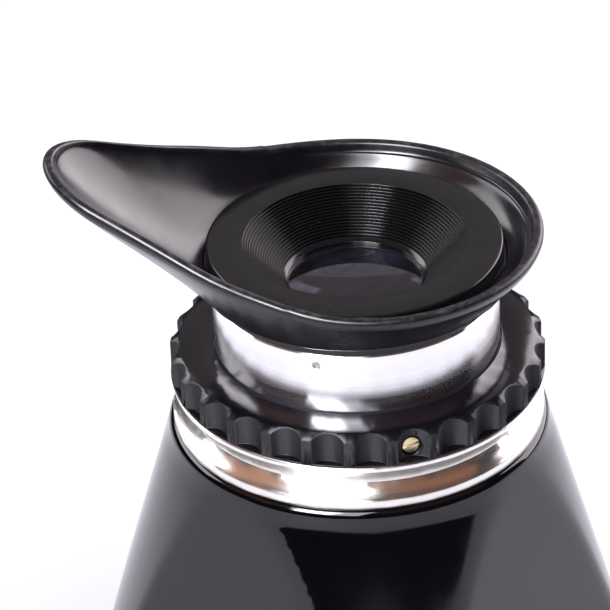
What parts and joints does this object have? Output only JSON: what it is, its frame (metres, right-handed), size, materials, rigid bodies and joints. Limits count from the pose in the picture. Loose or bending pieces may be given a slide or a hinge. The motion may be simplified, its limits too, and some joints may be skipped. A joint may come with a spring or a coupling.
{
  "type": "viewfinder magnifier hood",
  "caption": "Rigid viewfinder hood for a square-format camera: tapered black housing, turning focus ring, sliding magnifier tube and winged rubber eyecup.",
  "frame": {"origin": "on the optical axis, at the underside of the foot", "axes": "+Z along the optical axis towards the eye; X and Y along the sides of the square foot; the side rails run along Y"},
  "size_m": [0.0748, 0.0733, 0.1093],
  "materials": {
    "housing_enamel": "gloss black enamel",
    "foot_anodised": "satin black",
    "foot_screw_steel": "plain",
    "mask_black": "matte black",
    "rail_steel": "ground",
    "rail_screw_steel": "plain",
    "ring_chrome": "bright, turned",
    "nut_aluminium": "plain turned",
    "guide_aluminium": "plain turned",
    "guide_screw_steel": "plain",
    "cam_brass": "turned",
    "ring_anodised": "satin black anodised",
    "screw_brass": "bright",
    "tube_aluminium": "bright satin",
    "pin_steel": "ground",
    "head_anodised": "satin black anodised",
    "set_screw_steel": "plain",
    "eye_lens_glass": "coated",
    "spacer_black": "matte black",
    "crown_glass": "polished",
    "flint_glass": "polished",
    "retainer_black": "matte black",
    "washer_black": "matte",
    "cup_rubber": "satin"
  },
  "bodies": {
    "housing": {"housing_shell": "housing_enamel", "foot_frame": "foot_anodised", "foot_screws": "foot_screw_steel", "screen_mask": "mask_black", "foot_rail_left": "rail_steel", "foot_rail_right": "rail_steel", "rail_screws": "rail_screw_steel", "mount_ring": "ring_chrome", "mount_nut": "nut_aluminium", "guide_sleeve": "guide_aluminium", "guide_sleeve_screws": "guide_screw_steel"},
    "focusing_ring": {"focus_ring": "ring_anodised", "cam_sleeve": "cam_brass", "focus_ring_screws": "screw_brass"},
    "eyepiece": {"eyepiece_tube": "tube_aluminium", "cam_pins": "pin_steel", "eyepiece_head": "head_anodised", "head_set_screws": "set_screw_steel", "eye_lens": "eye_lens_glass", "lens_spacer": "spacer_black", "doublet_crown": "crown_glass", "doublet_flint": "flint_glass", "lens_retainer": "retainer_black", "cup_washer": "washer_black"},
    "eyecup": {"eyecup": "cup_rubber"}
  },
  "joints": [
    {"name": "focus_turn", "type": "hinge", "parent": "housing", "child": "focusing_ring", "pos_m": [0, 0, 0.072], "axis": [0, 0, 1], "range_deg": [-30, 70]},
    {"name": "focus_slide", "type": "slide", "parent": "housing", "child": "eyepiece", "axis": [0, 0, 1], "range_m": [-0.003, 0.007]},
    {"name": "eyecup_turn", "type": "hinge", "parent": "eyepiece", "child": "eyecup", "pos_m": [0, 0, 0.0885], "axis": [0, 0, 1], "continuous": true}
  ],
  "couplings": [
    {"joint": "focus_slide", "follows": "focus_turn", "m_per_rad": 0.0057296}
  ]
}
